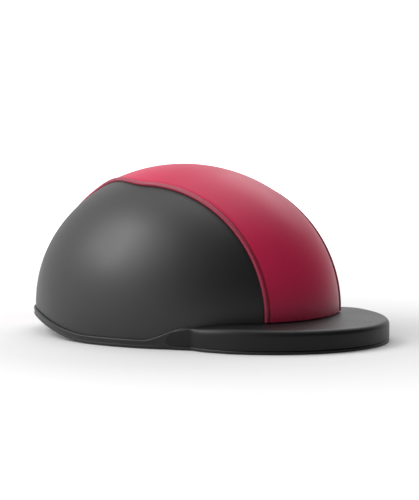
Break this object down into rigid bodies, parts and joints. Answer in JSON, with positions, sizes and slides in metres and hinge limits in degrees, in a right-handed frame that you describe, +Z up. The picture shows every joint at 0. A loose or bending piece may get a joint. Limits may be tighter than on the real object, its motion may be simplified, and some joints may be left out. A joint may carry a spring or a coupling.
{
  "type": "equestrian riding helmet",
  "caption": "Low oval riding hat with a raised centre panel between piped edges, a short down-turned peak, a foam liner, a dial-fitted nape cradle and a side-release chin harness.",
  "frame": {"origin": "centre of the helmet's footprint, on the flat surface that its rim stands on", "axes": "+X to the wearer's front, where the peak points; +Y to the wearer's left; +Z up"},
  "size_m": [0.3138, 0.2192, 0.1385],
  "materials": {
    "shell_plastic": "moulded, semi-gloss, hidden under the covers",
    "cover_satin": "satin black lacquer",
    "panel_crimson": "satin crimson",
    "piping_crimson": "woven crimson piping, slightly worn sheen",
    "trim_black": "satin moulded edge trim",
    "peak_satin": "satin black, fine grain",
    "peak_lining": "fine woven lining",
    "foam_liner": "moulded bead foam; fabric stands in for its low density",
    "comfort_fabric": "brushed knitted padding",
    "webbing": "ribbed polyester webbing",
    "moulded_black": "fine-textured moulding",
    "dial_rubber": "soft-touch dial",
    "pad_leather": "grained synthetic leather",
    "steel": "zinc plated"
  },
  "bodies": {
    "shell": {"outer_shell": "shell_plastic", "side_cover_left": "cover_satin", "side_cover_right": "cover_satin", "centre_panel": "panel_crimson", "piping_left": "piping_crimson", "piping_right": "piping_crimson", "edge_trim": "trim_black", "peak_cover": "peak_satin", "peak_core": "moulded_black", "peak_lining": "peak_lining", "peak_binding": "trim_black", "peak_rivets": "steel", "impact_liner": "foam_liner", "crown_pad": "comfort_fabric", "front_pad": "comfort_fabric", "side_pad_left": "comfort_fabric", "side_pad_right": "comfort_fabric", "harness_anchors": "steel", "harness_rivets": "steel", "strap_tails": "webbing", "tail_rivets": "steel", "cradle_track": "moulded_black", "track_feet": "moulded_black", "track_screws": "steel"},
    "cradle": {"gear_housing": "moulded_black", "housing_cover": "moulded_black", "housing_screws": "steel", "cradle_frame": "moulded_black", "nape_pad": "comfort_fabric"},
    "dial": {"dial_knob": "dial_rubber", "dial_shaft": "moulded_black", "dial_screw": "steel"},
    "left_band": {"band_left": "moulded_black"},
    "right_band": {"band_right": "moulded_black"},
    "harness_left": {"front_strap_left": "webbing", "rear_strap_left": "webbing", "ear_divider_left": "moulded_black"},
    "harness_right": {"front_strap_right": "webbing", "rear_strap_right": "webbing", "ear_divider_right": "moulded_black"},
    "chin_left": {"chin_strap_left": "webbing", "chin_pad": "pad_leather", "buckle_socket": "moulded_black"},
    "chin_right": {"chin_strap_right": "webbing", "chin_keeper": "webbing", "buckle_plug": "moulded_black"},
    "front_release": {"prong_front": "moulded_black"},
    "rear_release": {"prong_rear": "moulded_black"},
    "adjuster": {"chin_adjuster": "moulded_black"}
  },
  "joints": [
    {"name": "cradle_height", "type": "slide", "parent": "shell", "child": "cradle", "axis": [0, 0, 1], "range_m": [-0.024, 0]},
    {"name": "dial_turn", "type": "hinge", "parent": "cradle", "child": "dial", "pos_m": [-0.1331, 0, 0.03], "axis": [1, 0, 0], "range_deg": [0, 160]},
    {"name": "left_band_draw", "type": "slide", "parent": "cradle", "child": "left_band", "axis": [0, -1, 0], "range_m": [0, 0.014]},
    {"name": "right_band_draw", "type": "slide", "parent": "cradle", "child": "right_band", "axis": [0, 1, 0], "range_m": [0, 0.014]},
    {"name": "harness_left_swing", "type": "hinge", "parent": "shell", "child": "harness_left", "pos_m": [-0.0241, 0.064, 0.0029], "axis": [1, 0, 0], "range_deg": [-60, 90]},
    {"name": "harness_right_swing", "type": "hinge", "parent": "shell", "child": "harness_right", "pos_m": [-0.0241, -0.064, 0.0029], "axis": [-1, 0, 0], "range_deg": [-60, 90]},
    {"name": "chin_left_fold", "type": "hinge", "parent": "harness_left", "child": "chin_left", "pos_m": [-0.0241, 0.004, 0.0071], "axis": [1, 0, 0], "range_deg": [0, 100]},
    {"name": "chin_right_fold", "type": "hinge", "parent": "harness_right", "child": "chin_right", "pos_m": [-0.0241, -0.004, 0.0071], "axis": [-1, 0, 0], "range_deg": [0, 100]},
    {"name": "front_release_pinch", "type": "hinge", "parent": "chin_right", "child": "front_release", "pos_m": [-0.0171, -0.046, 0.0097], "axis": [0, 0, -1], "range_deg": [0, 6], "stiffness_Nm_per_rad": 0.05},
    {"name": "rear_release_pinch", "type": "hinge", "parent": "chin_right", "child": "rear_release", "pos_m": [-0.0311, -0.046, 0.0097], "axis": [0, 0, 1], "range_deg": [0, 6], "stiffness_Nm_per_rad": 0.05},
    {"name": "adjuster_slide", "type": "slide", "parent": "chin_right", "child": "adjuster", "axis": [0, -1, 0], "range_m": [0, 0.012]}
  ],
  "couplings": [
    {"joint": "left_band_draw", "follows": "dial_turn", "m_per_rad": 0.005},
    {"joint": "right_band_draw", "follows": "dial_turn", "m_per_rad": 0.005}
  ]
}
